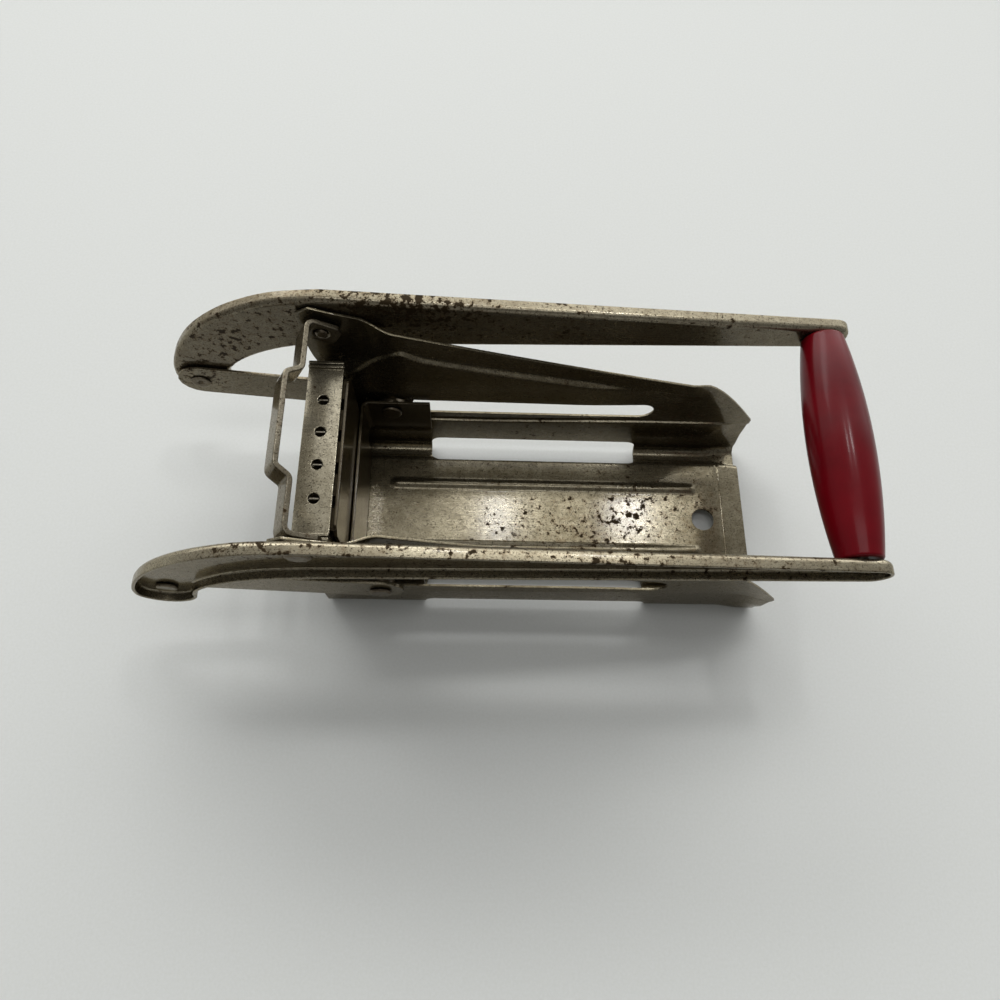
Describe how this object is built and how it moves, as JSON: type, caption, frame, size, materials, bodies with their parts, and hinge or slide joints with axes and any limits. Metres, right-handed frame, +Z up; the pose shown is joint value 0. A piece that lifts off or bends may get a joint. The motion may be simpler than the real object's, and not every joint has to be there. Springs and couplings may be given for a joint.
{
  "type": "french fry cutter",
  "caption": "Hand lever french fry cutter: pressed steel trough with a blade grid, a studded pusher on links, and a two-armed lever with a turned wooden handle.",
  "frame": {"origin": "on the table, at the middle of the overall length, midway between the two walls", "axes": "+X from the blade grid towards the handle, +Y to the far side as seen with the grid on the left, +Z up"},
  "size_m": [0.2531, 0.093, 0.098],
  "materials": {
    "tinplate": "tarnished tin-plated steel, satin, with small rust specks",
    "tinplate_arm": "tarnished tin-plated steel, satin, with rust specks along the bends",
    "tinplate_grid": "tarnished tin-plated steel, satin",
    "blade_steel": "ground steel, dulled by use",
    "pusher_steel": "tarnished tin-plated steel, darker than the trough",
    "rivet_steel": "steel, rubbed and a little rusted",
    "painted_wood": "dark red gloss paint on turned wood"
  },
  "bodies": {
    "frame": {"frame": "tinplate", "grid_frame": "tinplate_grid", "blade_upright_1": "blade_steel", "blade_level_1": "blade_steel", "blade_upright_2": "blade_steel", "blade_level_2": "blade_steel", "blade_upright_3": "blade_steel", "blade_level_3": "blade_steel", "blade_upright_4": "blade_steel", "blade_level_4": "blade_steel", "pivot_rivet_far": "rivet_steel", "pivot_rivet_near": "rivet_steel"},
    "lever": {"lever_arm_far": "tinplate_arm", "lever_arm_near": "tinplate_arm", "handle_grip": "painted_wood", "handle_rod": "rivet_steel", "tip_rivet_head_far": "rivet_steel", "tip_rivet_head_near": "rivet_steel"},
    "pusher": {"pusher_face": "pusher_steel", "pusher_bracket": "pusher_steel", "pusher_pin_far": "rivet_steel", "pusher_pin_near": "rivet_steel"},
    "link_far": {"link_far": "tinplate_arm", "tip_rivet_tail_far": "rivet_steel"},
    "link_near": {"link_near": "tinplate_arm", "tip_rivet_tail_near": "rivet_steel"},
    "bail": {"retaining_bail": "tinplate_grid"}
  },
  "joints": [
    {"name": "lever_lift", "type": "hinge", "parent": "frame", "child": "lever", "pos_m": [-0.0616, 0, 0.0855], "axis": [0, -1, 0], "range_deg": [0, 98.79]},
    {"name": "pusher_slide", "type": "slide", "parent": "frame", "child": "pusher", "axis": [1, 0, 0], "range_m": [0, 0.1025]},
    {"name": "link_turn_far", "type": "hinge", "parent": "pusher", "child": "link_far", "pos_m": [-0.0413, 0, 0.0355], "axis": [0, -1, 0], "range_deg": [0, 5.7]},
    {"name": "link_turn_near", "type": "hinge", "parent": "pusher", "child": "link_near", "pos_m": [-0.0413, 0, 0.0355], "axis": [0, -1, 0], "range_deg": [0, 5.7]},
    {"name": "bail_swing", "type": "hinge", "parent": "frame", "child": "bail", "pos_m": [-0.0616, 0, 0.0855], "axis": [0, -1, 0], "range_deg": [-60, 117]}
  ],
  "couplings": [
    {"joint": "pusher_slide", "follows": "lever_lift", "m_per_rad": 0.059273},
    {"joint": "link_turn_far", "follows": "lever_lift", "ratio": 0.056526},
    {"joint": "link_turn_near", "follows": "lever_lift", "ratio": 0.056526}
  ]
}
